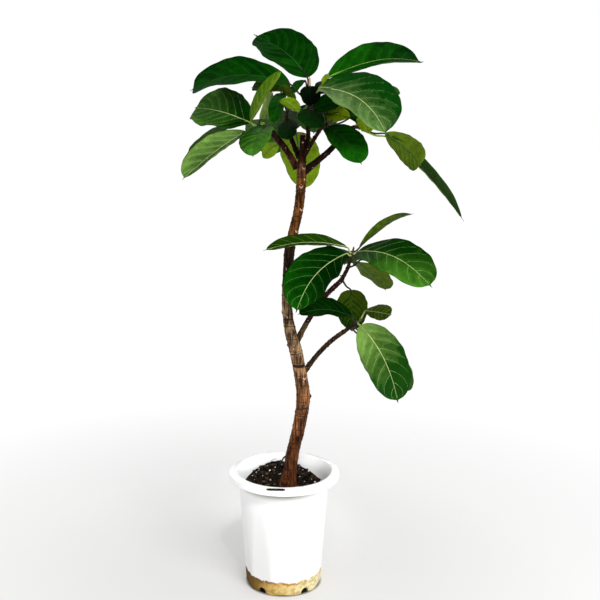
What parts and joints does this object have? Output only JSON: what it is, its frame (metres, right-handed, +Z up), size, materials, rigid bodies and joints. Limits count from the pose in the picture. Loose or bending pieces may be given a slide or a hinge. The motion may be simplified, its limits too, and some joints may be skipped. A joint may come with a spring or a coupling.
{
  "type": "potted african prince ficus",
  "caption": "Young ficus tree with a bent bare trunk, a leafy crown and two leafy side boughs, in a white nursery pot.",
  "frame": {"origin": "middle of the pot's flat underside, on the surface that the pot stands on", "axes": "+Z up the plant, +X to the right of the front view, +Y away from the front view"},
  "size_m": [0.5667, 0.427, 1.2034],
  "materials": {
    "pot": "white moulded plastic, satin gloss, soil-stained foot",
    "soil": "damp dark potting mix with perlite and bark chips",
    "bark": "rough brown bark with ring scars",
    "foliage": "leathery glossy dark green leaf"
  },
  "bodies": {
    "root": {"pot": "pot", "soil": "soil", "trunk": "bark", "bough_crown_left": "bark", "bough_crown_mid": "bark", "bough_crown_top": "bark", "bough_crown_inner": "bark", "bough_crown_right": "bark", "bough_side_upper": "bark", "bough_side_lower": "bark", "foliage_crown_left": "foliage", "foliage_crown_mid": "foliage", "foliage_crown_top": "foliage", "foliage_crown_inner": "foliage", "foliage_crown_right": "foliage", "foliage_side_upper": "foliage", "foliage_side_lower": "foliage"}
  },
  "joints": []
}
